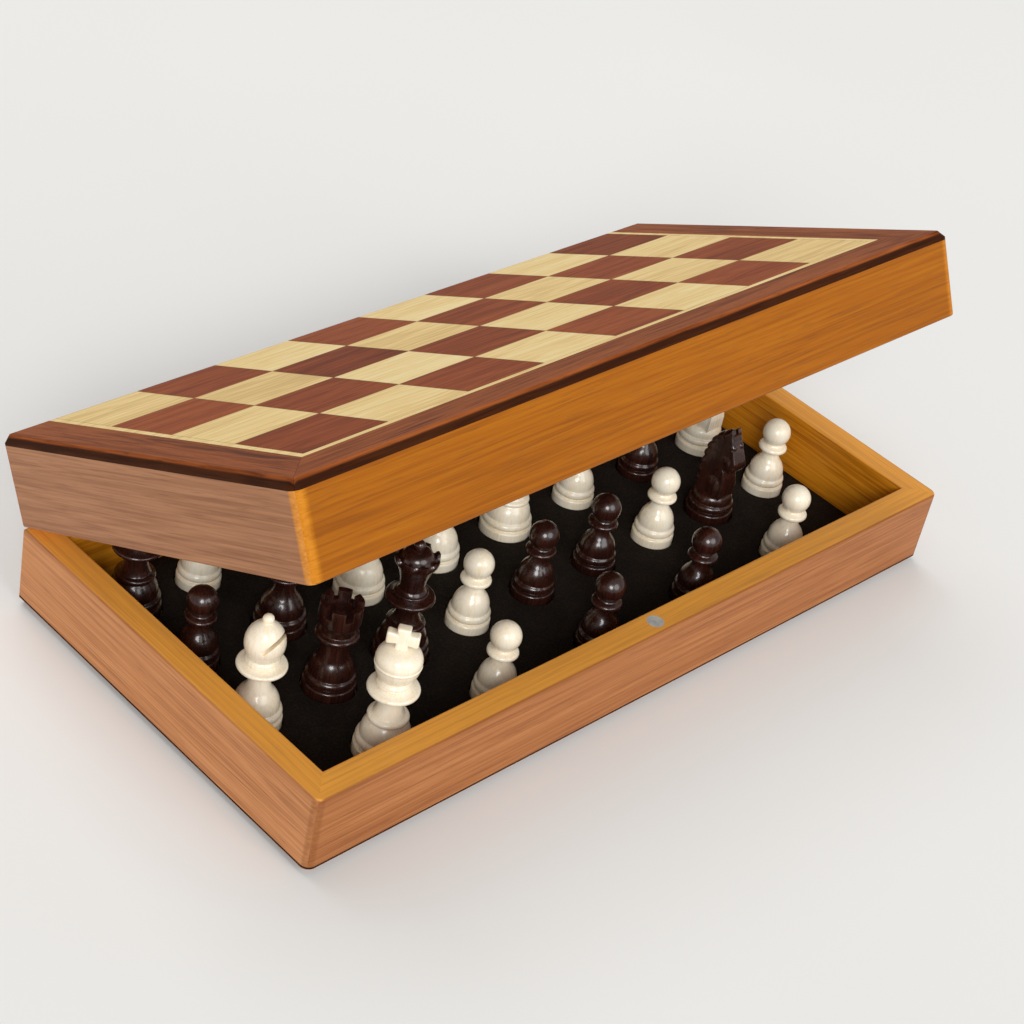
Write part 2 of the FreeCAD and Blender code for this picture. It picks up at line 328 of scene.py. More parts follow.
def wallFinish(name, onLid, along, outside, outerTones, seed):
    # outside names the side of the case that the wall's outer face is on
    material, wire = newFinish(name)
    place = caseCoordinates(wire, onLid)
    x, y, z = place.axes()
    tone, fibre, pores = grain(place, along, caseWood, seed)
    inner = tone.ramp(*tones(*caseWood["honey"]))
    outer = tone.ramp(*tones(*outerTones))
    reach = {"front": 0 - y, "back": y, "left": 0 - x, "right": x}[outside]
    limit = case["halfLength"] if outside in ("left", "right") else case["halfDepth"]
    belowRim = abs(z - closingLevel).step(*wallFades["rim"])
    fromCorner = abs(x) - y - case["halfLength"] - case["halfDepth"]
    corner = fromCorner.step(*wallFades["corner"]) * belowRim
    outerShare = (reach - limit).step(*wallFades["outer"]).larger(corner)
    base = inner.blended(outer, outerShare)
    pores = pores * (1 - corner)
    if onLid:
        # a painted highlight lies on the lid's two rounded front corners and beside them
        nearEnd = (abs(x) - case["halfLength"]).step(*wallFades["glowEnd"])
        onFront = (0 - y - case["halfDepth"]).step(*wallFades["glowFront"])
        glow = (fibre * 0.4 + 0.3).ramp(*tones(*caseWood["glow"]))
        base = base.blended(glow, corner.larger(nearEnd * onFront) * caseWood["cornerShare"])
    else:
        # painted shade on the tray's rounded corners
        base = base.blended(colour(*caseWood["worn"]), corner * caseWood["cornerShare"])
    base = base.blended(colour(*caseWood["pore"]), pores * caseWood["poreShare"])
    # the closing edge has a painted highlight on top and painted shade on its outer round
    rimShare = 1 - belowRim
    base = base.blended(colour(*caseWood["rim"]), rimShare * (1 - outerShare) * caseWood["rimShare"])
    base = base.blended(colour(*caseWood["handled"]), rimShare * outerShare * caseWood["rimShare"])
    surface(wire, base, 0.34 + fibre * 0.16, fibre - pores * 0.8, 0.03 * mm, **varnish)
    return material


def paint(node, material):
    for slot in nodes[node].material_slots:
        slot.material = material


for half, onLid in halves:
    # the lid's front takes a painted lit copy of the front tones, and its left and right walls a painted
    # shaded copy of the side tones
    frontTones = caseWood["golden"] if onLid else caseWood["tan"]
    sideTones = caseWood["dusk"] if onLid else caseWood["rose"]
    walls = {
        "front": ("x", frontTones, 1.3),
        "back": ("x", caseWood["tan"], 4.1),
        "left": ("y", sideTones, 6.7),
        "right": ("y", sideTones, 9.2),
    }
    for side, (along, outerTones, seed) in walls.items():
        name = half + side.capitalize() + "WallWood"
        paint(f"{half}_{side}_wall", wallFinish(name, onLid, along, side, outerTones, seed + 20 * onLid))
print("walls varnished")

boardWood = {
    "figureLength": 14, "figureScale": 130, "lineCount": 50,
    "fibreLength": 40, "fibreScale": 1700, "poreLength": 18, "poreScale": 3200,
    "figureShare": 0.44, "lineShare": 0.14, "fibreShare": 0.42,
    "maple": ((220, 185, 122), (245, 212, 146), (252, 229, 171)),
    "mahogany": ((104, 44, 19), (144, 69, 32), (167, 88, 46)),
    "border": ((77, 33, 14), (138, 71, 32), (171, 96, 49)),
    # painted shade for the border's bevel
    "bevel": (30, 15, 8),
    "glueLine": (70, 40, 24),
    "seam": (40, 19, 12),
    "poreShare": 0.4, "squareSpread": 0.22, "sheetStep": (0.37, 0.53, 0.71),
}
boardLacquer = {"Coat_Weight": 0, "Specular_IOR_Level": 0.03}


def squareFinish(name, onLid, squareTones, seed):
    material, wire = newFinish(name)
    place = caseCoordinates(wire, onLid)
    x, y, _ = place.axes()
    column = (x - fieldLeft) / case["square"]
    row = (y - fieldFront) / case["square"]
    number = wire.node("ShaderNodeCombineXYZ", {}, {"X": column.whole(), "Y": row.whole(), "Z": seed})
    cut = wire.node("ShaderNodeTexWhiteNoise", {"noise_dimensions": "3D"}, {"Vector": number})
    # each square is cut from its own place in the veneer sheet
    sheet = wire.node("ShaderNodeVectorMath", {"operation": "MULTIPLY_ADD"},
                      {0: number, 1: boardWood["sheetStep"], 2: place})
    tone, fibre, pores = grain(sheet, "x", boardWood, seed)
    base = (tone + (cut - 0.5) * boardWood["squareSpread"]).ramp(*tones(*squareTones))
    base = base.blended(colour(*squareTones[0]), pores * boardWood["poreShare"])
    acrossX = abs(column.fraction() - 0.5)
    acrossY = abs(row.fraction() - 0.5)
    joint = acrossX.larger(acrossY).step(0.492, 0.498)
    base = base.blended(colour(*boardWood["glueLine"]), joint * 0.7)
    surface(wire, base, 0.40 + fibre * 0.14, fibre - joint, 0.02 * mm, **boardLacquer)
    return material


def borderFinish(name, onLid, seed):
    material, wire = newFinish(name)
    place = caseCoordinates(wire, onLid)
    x, y, _ = place.axes()
    fromSide = case["halfLength"] - abs(x)
    fromFront = y + case["halfDepth"]
    frontStrip = (fromSide - fromFront).step(-0.05 * mm, 0.05 * mm)
    longTone, longFibre, longPores = grain(place, "x", boardWood, seed)
    sideTone, sideFibre, sidePores = grain(place, "y", boardWood, seed + 5)
    tone = sideTone + (longTone - sideTone) * frontStrip
    fibre = sideFibre + (longFibre - sideFibre) * frontStrip
    pores = sidePores + (longPores - sidePores) * frontStrip
    dark, middle, light = (colour(*shade) for shade in boardWood["border"])
    base = tone.ramp((0.30, dark), (0.45, middle), (0.70, light))
    base = base.blended(colour(*boardWood["seam"]), pores * boardWood["poreShare"])
    fromEdge = fromSide.smaller(fromFront)
    # painted shade on the bevel's lower half
    bevel = 1 - fromEdge.step(case["borderBevel"] * 0.5, case["borderBevel"] * 0.8)
    base = base.blended(colour(*boardWood["bevel"]), bevel * (0.72 + fibre * 0.3))
    mitre = 1 - abs(fromSide - fromFront).step(0.05 * mm, 0.2 * mm)
    base = base.blended(colour(*boardWood["seam"]), mitre * 0.6)
    surface(wire, base, 0.38 + fibre * 0.16, fibre - mitre, 0.03 * mm, **boardLacquer)
    return material


def stringingFinish(name, onLid):
    material, wire = newFinish(name)
    place = caseCoordinates(wire, onLid)
    tone, fibre, _ = grain(place, "x", boardWood, 2.2)
    base = tone.ramp(*tones(*boardWood["maple"]))
    surface(wire, base, 0.42 + fibre * 0.12, fibre, 0.02 * mm, **boardLacquer)
    return material


plyLook = {
    "layers": 5,
    "thickness": 2.6 * mm,
    "face": ((176, 138, 90), (206, 170, 120), (222, 190, 142)),
    "crossLayer": (150, 104, 62),
}


def plyFinish(name, onLid):
    material, wire = newFinish(name)
    place = caseCoordinates(wire, onLid)
    _, _, z = place.axes()
    tone, fibre, _ = grain(place, "x", boardWood, 8.8)
    layer = (z * (plyLook["layers"] / plyLook["thickness"] / 2)).fraction()
    strata = abs(layer - 0.5).step(0.2, 0.3)
    base = tone.ramp(*tones(*plyLook["face"]))
    base = base.blended(colour(*plyLook["crossLayer"]), strata * 0.75)
    surface(wire, base, 0.6 + fibre * 0.2, fibre - strata * 0.5, 0.05 * mm)
    return material


for half, onLid in halves:
    for kind, wood, seed in (("light", "maple", 3), ("dark", "mahogany", 7)):
        name = half + wood.capitalize() + "Squares"
        paint(f"{half}_{kind}_squares", squareFinish(name, onLid, boardWood[wood], seed + onLid))
    paint(half + "_border", borderFinish(half + "BorderWood", onLid, 11 + onLid))
    paint(half + "_stringing", stringingFinish(half + "MapleStringing", onLid))
    paint(half + "_panel", plyFinish(half + "PlyPanel", onLid))
print("board faces veneered")

metalLook = {
    "brass": ((150, 104, 40), (200, 152, 72), (226, 184, 104)),
    "nickel": ((176, 177, 174), (212, 212, 207), (232, 232, 228)),
}


def metalFinish(name, metalTones, along, brushScale, metallic=1.0):
    material, wire = newFinish(name)
    place = wire.node("ShaderNodeTexCoord", {}, {}, "Object")
    brush = drawnOut(place, along, 25, 1.9).noise(brushScale, 2)
    tarnish = place.noise(260, 4, 0.6)
    base = (brush * 0.35 + tarnish * 0.65).ramp(*tones(*metalTones))
    roughness = 0.2 + tarnish * 0.16 + brush * 0.1
    surface(wire, base, roughness, brush, 0.008 * mm, Metallic=metallic)
    return material


brass = metalFinish("hingeBrass", metalLook["brass"], "x", 3500)
screwBrass = metalFinish("screwBrass", metalLook["brass"], "y", 5000)
nickel = metalFinish("magnetNickel", metalLook["nickel"], "x", 4000, 0.35)
for half in ("tray", "lid"):
    paint(half + "_hinge_leaves", brass)
    paint(half + "_hinge_screws", screwBrass)
    paint(half + "_magnet", nickel)
paint("hinge_pins", brass)
print("hinges and magnets finished")

# Linings
foamLook = {
    "edgeRound": 0.5 * mm,
    "inset": 0.15 * mm,
    "socketClearance": 0.4 * mm,
    "punchDepth": 12 * mm,
    "dark": (17, 13, 10),
    "light": (44, 36, 29),
    "cell": 1400,
}

pieceNodes = sorted(name for name in nodes if name.split("_")[0] in ("white", "dark"))


def standingPlace(node):
    low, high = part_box(node)
    return (low[0] + high[0]) / 2, (low[1] + high[1]) / 2, low[2]


def foamFinish():
    material, wire = newFinish("blackFoam")
    place = wire.node("ShaderNodeTexCoord", {}, {}, "Object")
    cells = wire.node("ShaderNodeTexVoronoi", {"feature": "F1"}, {"Vector": place, "Scale": foamLook["cell"]})
    mottle = place.noise(180, 3)
    shade = cells * 0.6 + mottle * 0.4
    base = shade.ramp((0.2, colour(*foamLook["dark"])), (0.8, colour(*foamLook["light"])))
    surface(wire, base, 0.86 + mottle * 0.12, cells, 0.12 * mm, Specular_IOR_Level=0.12)
    return material


def makeFoam():
    low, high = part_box("socket_foam")
    inset = foamLook["inset"]
    foam = block("socketFoam", (low[0] + inset, low[1] + inset, low[2]),
                 (high[0] - inset, high[1] - inset, high[2]))
    punches = []
    for node in pieceNodes:
        x, y, _ = standingPlace(node)
        pieceLow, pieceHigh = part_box(node)
        radius = (pieceHigh[0] - pieceLow[0]) / 2 + foamLook["socketClearance"]
        deselectAll()
        bpy.ops.mesh.primitive_cylinder_add(vertices=48, radius=radius, depth=foamLook["punchDepth"],
                                            location=(x, y, (low[2] + high[2]) / 2))
        punch = bpy.context.object
        applyPlace(punch)
        punches.append(punch)
    cutWith(foam, joined(punches))
    finishWith(foam, "BEVEL", width=foamLook["edgeRound"], segments=3, limit_method="ANGLE",
               angle_limit=math.radians(40))
    smoothSides(foam, 40)
    foam.data.materials.append(foamFinish())
    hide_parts("socket_foam")
    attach(foam, "tray")


feltLook = {
    "thickness": 0.6 * mm,
    "ripple": 0.12 * mm,
    "rippleSize": 20 * mm,
    "size": (279.4 * mm, 129.4 * mm),
    "grid": (84, 40),
    "glueLevel": 59.0 * mm,
    "glueGap": 0.05 * mm,
    "dark": (9, 9, 9),
    "light": (24, 23, 23),
}


def feltFinish():
    material, wire = newFinish("blackFelt")
    place = caseCoordinates(wire, True)
    fibre = place.noise(1600, 4, 0.7)
    cloud = place.noise(60, 2)
    shade = fibre * 0.6 + cloud * 0.4
    base = shade.ramp((0.3, colour(*feltLook["dark"])), (0.7, colour(*feltLook["light"])))
    surface(wire, base, 0.84 + cloud * 0.12, fibre, 0.15 * mm, Specular_IOR_Level=0.1, Sheen_Weight=0.06)
    return material


def makeFelt():
    deselectAll()
    level = feltLook["glueLevel"] - feltLook["thickness"] - feltLook["glueGap"]
    long, short = feltLook["grid"]
    bpy.ops.mesh.primitive_grid_add(x_subdivisions=long, y_subdivisions=short, size=1, location=(0, 0, level))
    felt = bpy.context.object
    felt.name = "lidFelt"
    felt.scale = (*feltLook["size"], 1)
    applyPlace(felt)
    # the cloth lies a little unevenly on its glue
    nap = bpy.data.textures.new("feltRipple", "CLOUDS")
    nap.noise_scale = feltLook["rippleSize"]
    finishWith(felt, "DISPLACE", texture=nap, texture_coords="LOCAL", direction="Z", mid_level=0,
               strength=-feltLook["ripple"])
    finishWith(felt, "SOLIDIFY", thickness=feltLook["thickness"], offset=1)
    pivot = Matrix.Translation(Vector(case["hingeAxis"]))
    swing = pivot @ Matrix.Rotation(-math.radians(case["lidAngle"]), 4, "X") @ pivot.inverted()
    felt.data.transform(swing)
    smoothSides(felt, 40)
    felt.data.materials.append(feltFinish())
    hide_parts("lid_felt")
    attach(felt, "lid")


makeFoam()
makeFelt()
print("linings laid")

# Chess pieces. Outlines are shares of the base radius and of the height above the foot: two numbers
# end a straight stretch, four are a point on an arc and the arc's end.
footLook = {"height": 6.0, "lowerRound": 0.4, "upperRound": 0.9}
turnedLook = {"around": 48, "arcSteps": 10, "edgeRound": 0.14 * mm, "smoothAngle": 32}
stem = [
    (0.85, 0.002), (0.87, 0.008), (0.96, 0.04, 0.87, 0.072), (0.84, 0.078), (0.79, 0.15, 0.60, 0.21),
    (0.65, 0.218), (0.70, 0.238, 0.65, 0.258), (0.54, 0.266), (0.44, 0.32, 0.42, 0.385),
    (0.51, 0.445, 0.78, 0.460), (0.88, 0.48, 0.78, 0.50), (0.56, 0.515), (0.60, 0.527, 0.53, 0.539),
    (0.44, 0.565),
]


def arcPoints(start, through, end, count):
    (ax, az), (bx, bz), (cx, cz) = start, through, end
    twice = 2 * (ax * (bz - cz) + bx * (cz - az) + cx * (az - bz))
    a, b, c = ax * ax + az * az, bx * bx + bz * bz, cx * cx + cz * cz
    midX = (a * (bz - cz) + b * (cz - az) + c * (az - bz)) / twice
    midZ = (a * (cx - bx) + b * (ax - cx) + c * (bx - ax)) / twice
    radius = math.hypot(ax - midX, az - midZ)
    first, via, last = (math.atan2(z - midZ, x - midX) for x, z in (start, through, end))
    turn = (last - first) % (2 * math.pi)
    if (via - first) % (2 * math.pi) > turn:
        turn -= 2 * math.pi
    angles = [first + turn * k / count for k in range(1, count + 1)]
    return [(midX + radius * math.cos(angle), midZ + radius * math.sin(angle)) for angle in angles]


def footPoints(radius):
    low, high, top = footLook["lowerRound"], footLook["upperRound"], footLook["height"]
    shoulder = (radius - 0.29 * high, top - 0.29 * high)  # half way round
    side = [(0, 0), (radius - low, 0), (radius, low), (radius, top - high)]
    return side + arcPoints(side[-1], shoulder, (radius - high, top), turnedLook["arcSteps"])


def outlinePoints(look, outline):
    # in millimetres, from the middle of the foot upwards
    radius, above = look["base"] / 2, look["height"] - footLook["height"]
    points = footPoints(radius)
    for step in outline:
        pairs = zip(step[::2], step[1::2])
        placed = [(share * radius, footLook["height"] + level * above) for share, level in pairs]
        if len(placed) == 2:
            points += arcPoints(points[-1], *placed, turnedLook["arcSteps"])
        else:
            points += placed
    return points


def ballPoints(look):
    # from where the neck enters the ball to the top
    ball, neck, middle = look["ball"], look["neck"], look["height"] - look["ball"]
    start = (neck, middle - math.sqrt(ball * ball - neck * neck))
    crown = 0.7071 * ball
    halfWay = (crown, middle + crown)
    return [start] + arcPoints(start, halfWay, (0, look["height"]), 2 * turnedLook["arcSteps"])


def drawLine(name, points, y=0):
    # one point, drawn along the outline; the piece stays in edit mode with the line selected
    deselectAll()
    bpy.ops.mesh.primitive_plane_add(size=mm, location=(0, 0, 0))
    piece = bpy.context.object
    piece.name = name
    bpy.ops.object.mode_set(mode="EDIT")
    bpy.ops.mesh.select_mode(type="VERT")
    bpy.ops.mesh.select_all(action="SELECT")
    bpy.ops.mesh.merge(type="CENTER")
    bpy.ops.transform.translate(value=inMetres((points[0][0], y, points[0][1])))
    for (x0, z0), (x1, z1) in zip(points, points[1:]):
        step = inMetres((x1 - x0, 0, z1 - z0))
        bpy.ops.mesh.extrude_region_move(TRANSFORM_OT_translate={"value": step})
    bpy.ops.mesh.select_all(action="SELECT")
    return piece


def lathe(name, points):
    piece = drawLine(name, points)
    bpy.ops.mesh.spin(steps=turnedLook["around"], angle=2 * math.pi, center=(0, 0, 0), axis=(0, 0, 1))
    bpy.ops.mesh.select_all(action="SELECT")
    bpy.ops.mesh.remove_doubles(threshold=0.005 * mm)
    bpy.ops.mesh.normals_make_consistent(inside=False)
    bpy.ops.object.mode_set(mode="OBJECT")
    return piece


def softenEdges(piece):
    finishWith(piece, "BEVEL", width=turnedLook["edgeRound"], segments=2, limit_method="ANGLE",
               angle_limit=math.radians(34))
    smoothSides(piece, turnedLook["smoothAngle"])


pawnLook = {
    "height": 33, "base": 15.5, "ball": 5.3, "neck": 3.1,
    "outline": [
        (0.84, 0.003), (0.87, 0.012), (0.96, 0.065, 0.87, 0.118), (0.84, 0.13), (0.79, 0.25, 0.56, 0.36),
        (0.43, 0.43, 0.39, 0.51), (0.58, 0.53), (0.70, 0.568, 0.60, 0.606), (0.45, 0.62),
    ],
}


def makePawn():
    points = outlinePoints(pawnLook, pawnLook["outline"]) + ballPoints(pawnLook)
    pawn = lathe("pawnModel", points)
    softenEdges(pawn)
    return pawn


rookLook = {
    "height": 38, "base": 18, "slotLevel": 0.89, "merlons": 6, "slotSteps": 3,
    "outline": [
        (0.84, 0.003), (0.87, 0.011), (0.96, 0.055, 0.87, 0.103), (0.84, 0.11), (0.79, 0.21, 0.62, 0.30),
        (0.54, 0.40, 0.53, 0.53), (0.72, 0.555), (0.81, 0.59, 0.72, 0.625), (0.64, 0.64), (0.64, 0.655),
        (0.66, 0.72, 0.80, 0.77), (0.80, 0.89), (0.54, 0.89), (0.54, 0.86), (0, 0.86),
    ],
}


def makeRook():
    rook = lathe("rookModel", outlinePoints(rookLook, rookLook["outline"]))
    above = rookLook["height"] - footLook["height"]
    level = (footLook["height"] + rookLook["slotLevel"] * above) * mm
    perMerlon = turnedLook["around"] // rookLook["merlons"]

    def underMerlon(middle, normal):
        turn = math.atan2(middle.y, middle.x) % (2 * math.pi)
        step = int(turn / (2 * math.pi) * turnedLook["around"]) % perMerlon
        return abs(middle.z - level) < 0.01 * mm and normal.z > 0.9 and step >= rookLook["slotSteps"]

    editMode(rook)
    pickFaces(underMerlon)
    rise = (1 - rookLook["slotLevel"]) * above * mm
    bpy.ops.mesh.extrude_region_move(TRANSFORM_OT_translate={"value": (0, 0, rise)})
    bpy.ops.object.mode_set(mode="OBJECT")
    softenEdges(rook)
    return rook


bishopLook = {
    "height": 46, "base": 18, "ball": 1.9, "neck": 1.72, "heading": -65,
    "slit": 1.3, "slitTilt": 50, "slitPlace": (0.2, 0.72),
    "outline": [
        (0.84, 0.002), (0.87, 0.009), (0.96, 0.045, 0.87, 0.083), (0.84, 0.09), (0.78, 0.17, 0.54, 0.25),
        (0.42, 0.31, 0.38, 0.38), (0.49, 0.448, 0.80, 0.48), (0.92, 0.50, 0.80, 0.52), (0.57, 0.533),
        (0.62, 0.545, 0.55, 0.557), (0.48, 0.575), (0.74, 0.72, 0.19, 0.925), (0.15, 0.929),
    ],
}


def makeBishop():
    points = outlinePoints(bishopLook, bishopLook["outline"]) + ballPoints(bishopLook)
    bishop = lathe("bishopModel", points)
    radius, above = bishopLook["base"] / 2, bishopLook["height"] - footLook["height"]
    half = bishopLook["slit"] / 2
    saw = block("mitreSaw", inMetres((0, -radius, -half)), inMetres((radius, radius, half)))
    reach, level = bishopLook["slitPlace"]
    tilt = Matrix.Rotation(-math.radians(bishopLook["slitTilt"]), 4, "Y")
    place = inMetres((reach * radius, 0, footLook["height"] + level * above))
    saw.data.transform(Matrix.Translation(place) @ tilt)
    cutWith(bishop, saw)
    softenEdges(bishop)
    return bishop


queenLook = {
    "height": 50, "base": 19, "ball": 1.9, "neck": 1.2, "heading": 0,
    "notches": 8, "notch": (2.0, 2.3), "rim": (0.80, 0.868),
    "outline": stem + [
        (0.52, 0.69, 0.77, 0.81), (0.80, 0.84, 0.80, 0.868), (0.72, 0.866), (0.66, 0.838),
        (0.60, 0.845), (0.42, 0.905, 0.16, 0.92),
    ],
}


def makeQueen():
    points = outlinePoints(queenLook, queenLook["outline"]) + ballPoints(queenLook)
    queen = lathe("queenModel", points)
    radius, above = queenLook["base"] / 2, queenLook["height"] - footLook["height"]
    rimReach, rimLevel = queenLook["rim"]
    reach, level = rimReach * radius, footLook["height"] + rimLevel * above
    wide, deep = queenLook["notch"]
    punches = []
    for k in range(queenLook["notches"]):
        turn = 2 * math.pi * k / queenLook["notches"]
        middle = Vector((reach * math.cos(turn), reach * math.sin(turn), level)) * mm
        punches.append(bead("scallop", middle, inMetres((wide, wide, deep)), 12))
    cutWith(queen, joined(punches))
    softenEdges(queen)
    return queen


kingLook = {
    "height": 53, "base": 19.5, "heading": -50,
    "bar": 3.6, "crossWidth": 10.4, "crossHeight": 8.4, "flare": 1.3, "edgeRound": 0.8,
    "stemReach": 1.2, "stemFlare": 0.75,
    "outline": stem + [
        (0.67, 0.62, 0.76, 0.69), (0.785, 0.70, 0.76, 0.71), (0.70, 0.785, 0.42, 0.825),
        (0.20, 0.835), (0, 0.835),
    ],
}


def makeKing():
    king = lathe("kingModel", outlinePoints(kingLook, kingLook["outline"]))
    softenEdges(king)
    half = kingLook["bar"] / 2 * mm
    level = (kingLook["height"] - kingLook["crossHeight"] / 2) * mm
    cross = block("kingCross", (-half, -half, level - half), (half, half, level + half))
    arm = kingLook["crossWidth"] / 2 * mm - half
    top = kingLook["crossHeight"] / 2 * mm - half
    arms = [((1, 0, 0), arm, 1), ((-1, 0, 0), arm, 1), ((0, 0, 1), top, 1),
            ((0, 0, -1), kingLook["stemReach"] * top, kingLook["stemFlare"])]
    for direction, reach, share in arms:
        towards = Vector(direction)
        root = Vector((0, 0, level)) + towards * half
        editMode(cross)
        pickFaces(lambda middle, normal: normal.dot(towards) > 0.9 and (middle - root).length < 0.1 * mm)
        bpy.ops.mesh.extrude_region_move(TRANSFORM_OT_translate={"value": towards * reach})
        flare = 1 + (kingLook["flare"] - 1) * share
        across = [1 if abs(part) > 0.5 else flare for part in direction]
        across[1] = 1
        end = Vector((0, 0, level)) + towards * (half + reach)
        bpy.ops.transform.resize(value=across, center_override=end)
        bpy.ops.object.mode_set(mode="OBJECT")
    finishWith(cross, "BEVEL", width=kingLook["edgeRound"] * mm, segments=4, limit_method="ANGLE",
               angle_limit=math.radians(40))
    smoothSides(cross, 40)
    return joined([king, cross])


# Horse's head, seen from its right side; the muzzle points along X before it is turned to the front
knightLook = {
    "height": 42, "base": 18, "heading": 270, "slab": 9.0, "earSlab": 5.0,
    "wedgeReach": 9, "wedgeFoot": 8, "wedgeTop": 43,
    "plinth": [
        (0.84, 0.003), (0.87, 0.011), (0.96, 0.05, 0.87, 0.093), (0.84, 0.10), (0.83, 0.15, 0.74, 0.19),
        (0.70, 0.195), (0, 0.195),
    ],
    "profile": [
        (5.5, 9.5), (6.0, 13.5), (6.2, 17.5), (5.6, 21.2), (4.5, 24.2), (3.5, 25.7), (4.4, 25.3),
        (5.6, 25.0), (6.8, 25.1), (7.7, 25.8), (8.4, 27.0), (8.5, 28.4), (8.2, 29.8), (7.5, 31.2),
        (6.5, 33.2), (5.4, 35.6), (4.5, 37.6), (3.8, 38.8), (3.4, 40.4), (2.7, 42.0), (1.7, 40.4),
        (1.0, 38.9), (-0.8, 38.0), (-2.5, 36.4), (-4.0, 34.0), (-5.0, 31.0), (-5.6, 27.6), (-5.9, 24.0),
        (-5.9, 20.0), (-5.8, 15.0), (-5.6, 9.5),
    ],
    # the middles and radii of what swells out on both sides, of the eyes and of the nostrils
    "swellings": {
        "cheek": ((4.4, 2.3, 29.0), (2.7, 1.35, 2.9)),
        "brow": ((4.6, 1.9, 35.3), (1.5, 1.3, 1.0)),
        "nose": ((7.4, 1.7, 28.6), (1.2, 1.2, 1.5)),
        "shoulder": ((1.8, 2.6, 16.0), (4.2, 2.1, 6.0)),
    },
    "eye": ((5.0, 2.75, 34.0), (0.75, 0.55, 0.7)),
    "nostril": ((7.9, 2.7, 28.9), (0.55, 0.7, 0.45)),
    # the mane: each lock's place and lean, and how wide, proud and thick all of them are
    "locks": [
        (0.2, 38.0, 25), (-2.0, 36.2, 40), (-3.6, 33.6, 55), (-4.7, 30.4, 66), (-5.2, 27.0, 75),
        (-5.4, 23.4, 82), (-5.4, 19.8, 86), (-5.3, 16.2, 88),
    ],
    "lock": (2.3, 0.25, 1.5),
    # the low and high corners of the cuts
    "earGap": ((-0.6, -0.7, 39.6), (4.5, 0.7, 43)),
    "mouth": ((6.6, -6, 26.5), (9.5, 6, 26.95)),
    "edgeRound": 1.5, "voxel": 0.3, "smoothing": 6, "keepFaces": 0.4,
}


def onSide(name, side, feature, rings=16):
    (x, y, z), radii = feature
    return bead(name, inMetres((x, side * y, z)), inMetres(radii), rings)


def headSlab():
    look = knightLook
    half, reach, top = look["slab"] / 2, look["wedgeReach"], look["wedgeTop"]
    head = drawLine("knightModel", look["profile"], -half)
    bpy.ops.mesh.edge_face_add()
    bpy.ops.mesh.extrude_region_move(TRANSFORM_OT_translate={"value": (0, look["slab"] * mm, 0)})
    bpy.ops.mesh.select_all(action="SELECT")
    bpy.ops.mesh.normals_make_consistent(inside=False)
    bpy.ops.object.mode_set(mode="OBJECT")
    # the slab thins towards the ears
    wedge = block("headWedge", inMetres((-reach, -half, look["wedgeFoot"])), inMetres((reach, half, top)))
    editMode(wedge)
    pickFaces(lambda middle, normal: normal.z > 0.9)
    thinned = look["earSlab"] / look["slab"]
    bpy.ops.transform.resize(value=(1, thinned, 1), center_override=(0, 0, top * mm))
    bpy.ops.object.mode_set(mode="OBJECT")
    cutWith(head, wedge, "INTERSECT")
    finishWith(head, "BEVEL", width=look["edgeRound"] * mm, segments=3, limit_method="ANGLE",
               angle_limit=math.radians(60))
    return head


def maneLocks():
    look = knightLook
    wide, proud, thick = look["lock"]
    locks = []
    for x, z, lean in look["locks"]:
        share = (z - look["wedgeFoot"]) / (look["wedgeTop"] - look["wedgeFoot"])
        half = (look["slab"] + (look["earSlab"] - look["slab"]) * share) / 2
        lock = bead("lock", (0, 0, 0), inMetres((wide, half + proud, thick)))
        tilt = Matrix.Rotation(math.radians(lean - 90), 4, "Y")
        lock.data.transform(Matrix.Translation(inMetres((x, 0, z))) @ tilt)
        locks.append(lock)
    return locks


def makeKnight():
    look = knightLook
    head = headSlab()
    added = [onSide(name, side, feature) for side in (-1, 1) for name, feature in look["swellings"].items()]
    head = joined([head] + added + maneLocks())
    # everything melts into one skin
    head.data.remesh_voxel_size = look["voxel"] * mm
    activate(head)
    bpy.ops.object.voxel_remesh()
    finishWith(head, "SMOOTH", factor=0.5, iterations=look["smoothing"])
    finishWith(head, "DECIMATE", ratio=look["keepFaces"])
    for cut in ("earGap", "mouth"):
        low, high = look[cut]
        cutWith(head, block(cut, inMetres(low), inMetres(high)))
    for side in (-1, 1):
        cutWith(head, onSide("nostril", side, look["nostril"], 8))
    smoothSides(head, 50)
    eyes = [onSide("eye", side, look["eye"], 10) for side in (-1, 1)]
    for eye in eyes:
        smoothSides(eye, 60)
    plinth = lathe("knightPlinth", outlinePoints(look, look["plinth"]))
    softenEdges(plinth)
    return joined([head, plinth] + eyes)


pieceWood = {
    "figureLength": 12, "figureScale": 190, "lineCount": 60,
    "fibreLength": 26, "fibreScale": 1900, "poreLength": 12, "poreScale": 3600,
    "figureShare": 0.46, "lineShare": 0.14, "fibreShare": 0.40,
    "light": ((247, 228, 195), (254, 242, 217), (255, 248, 231)),
    "dark": ((26, 11, 8), (46, 20, 14), (66, 32, 22)),
}
pieceLacquer = {"Coat_Weight": 0.5, "Coat_Roughness": 0.1}


def pieceFinish(name, woodTones, poreShare):
    material, wire = newFinish(name)
    place = wire.node("ShaderNodeTexCoord", {}, {}, "Object")
    tone, fibre, pores = grain(place, "z", pieceWood, 5.5)
    base = tone.ramp(*tones(*woodTones))
    base = base.blended(colour(*woodTones[0]), pores * poreShare)
    surface(wire, base, 0.22 + fibre * 0.14, fibre, 0.015 * mm, **pieceLacquer)
    return material


def camelName(node):
    words = node.split("_")
    return words[0] + "".join(word.capitalize() for word in words[1:])


models = {
    "pawn": (makePawn(), 0),
    "rook": (makeRook(), 0),
    "bishop": (makeBishop(), bishopLook["heading"]),
    "queen": (makeQueen(), queenLook["heading"]),
    "king": (makeKing(), kingLook["heading"]),
    "knight": (makeKnight(), knightLook["heading"]),
}
print("chess pieces turned:", {kind: len(model.data.polygons) for kind, (model, _) in models.items()})

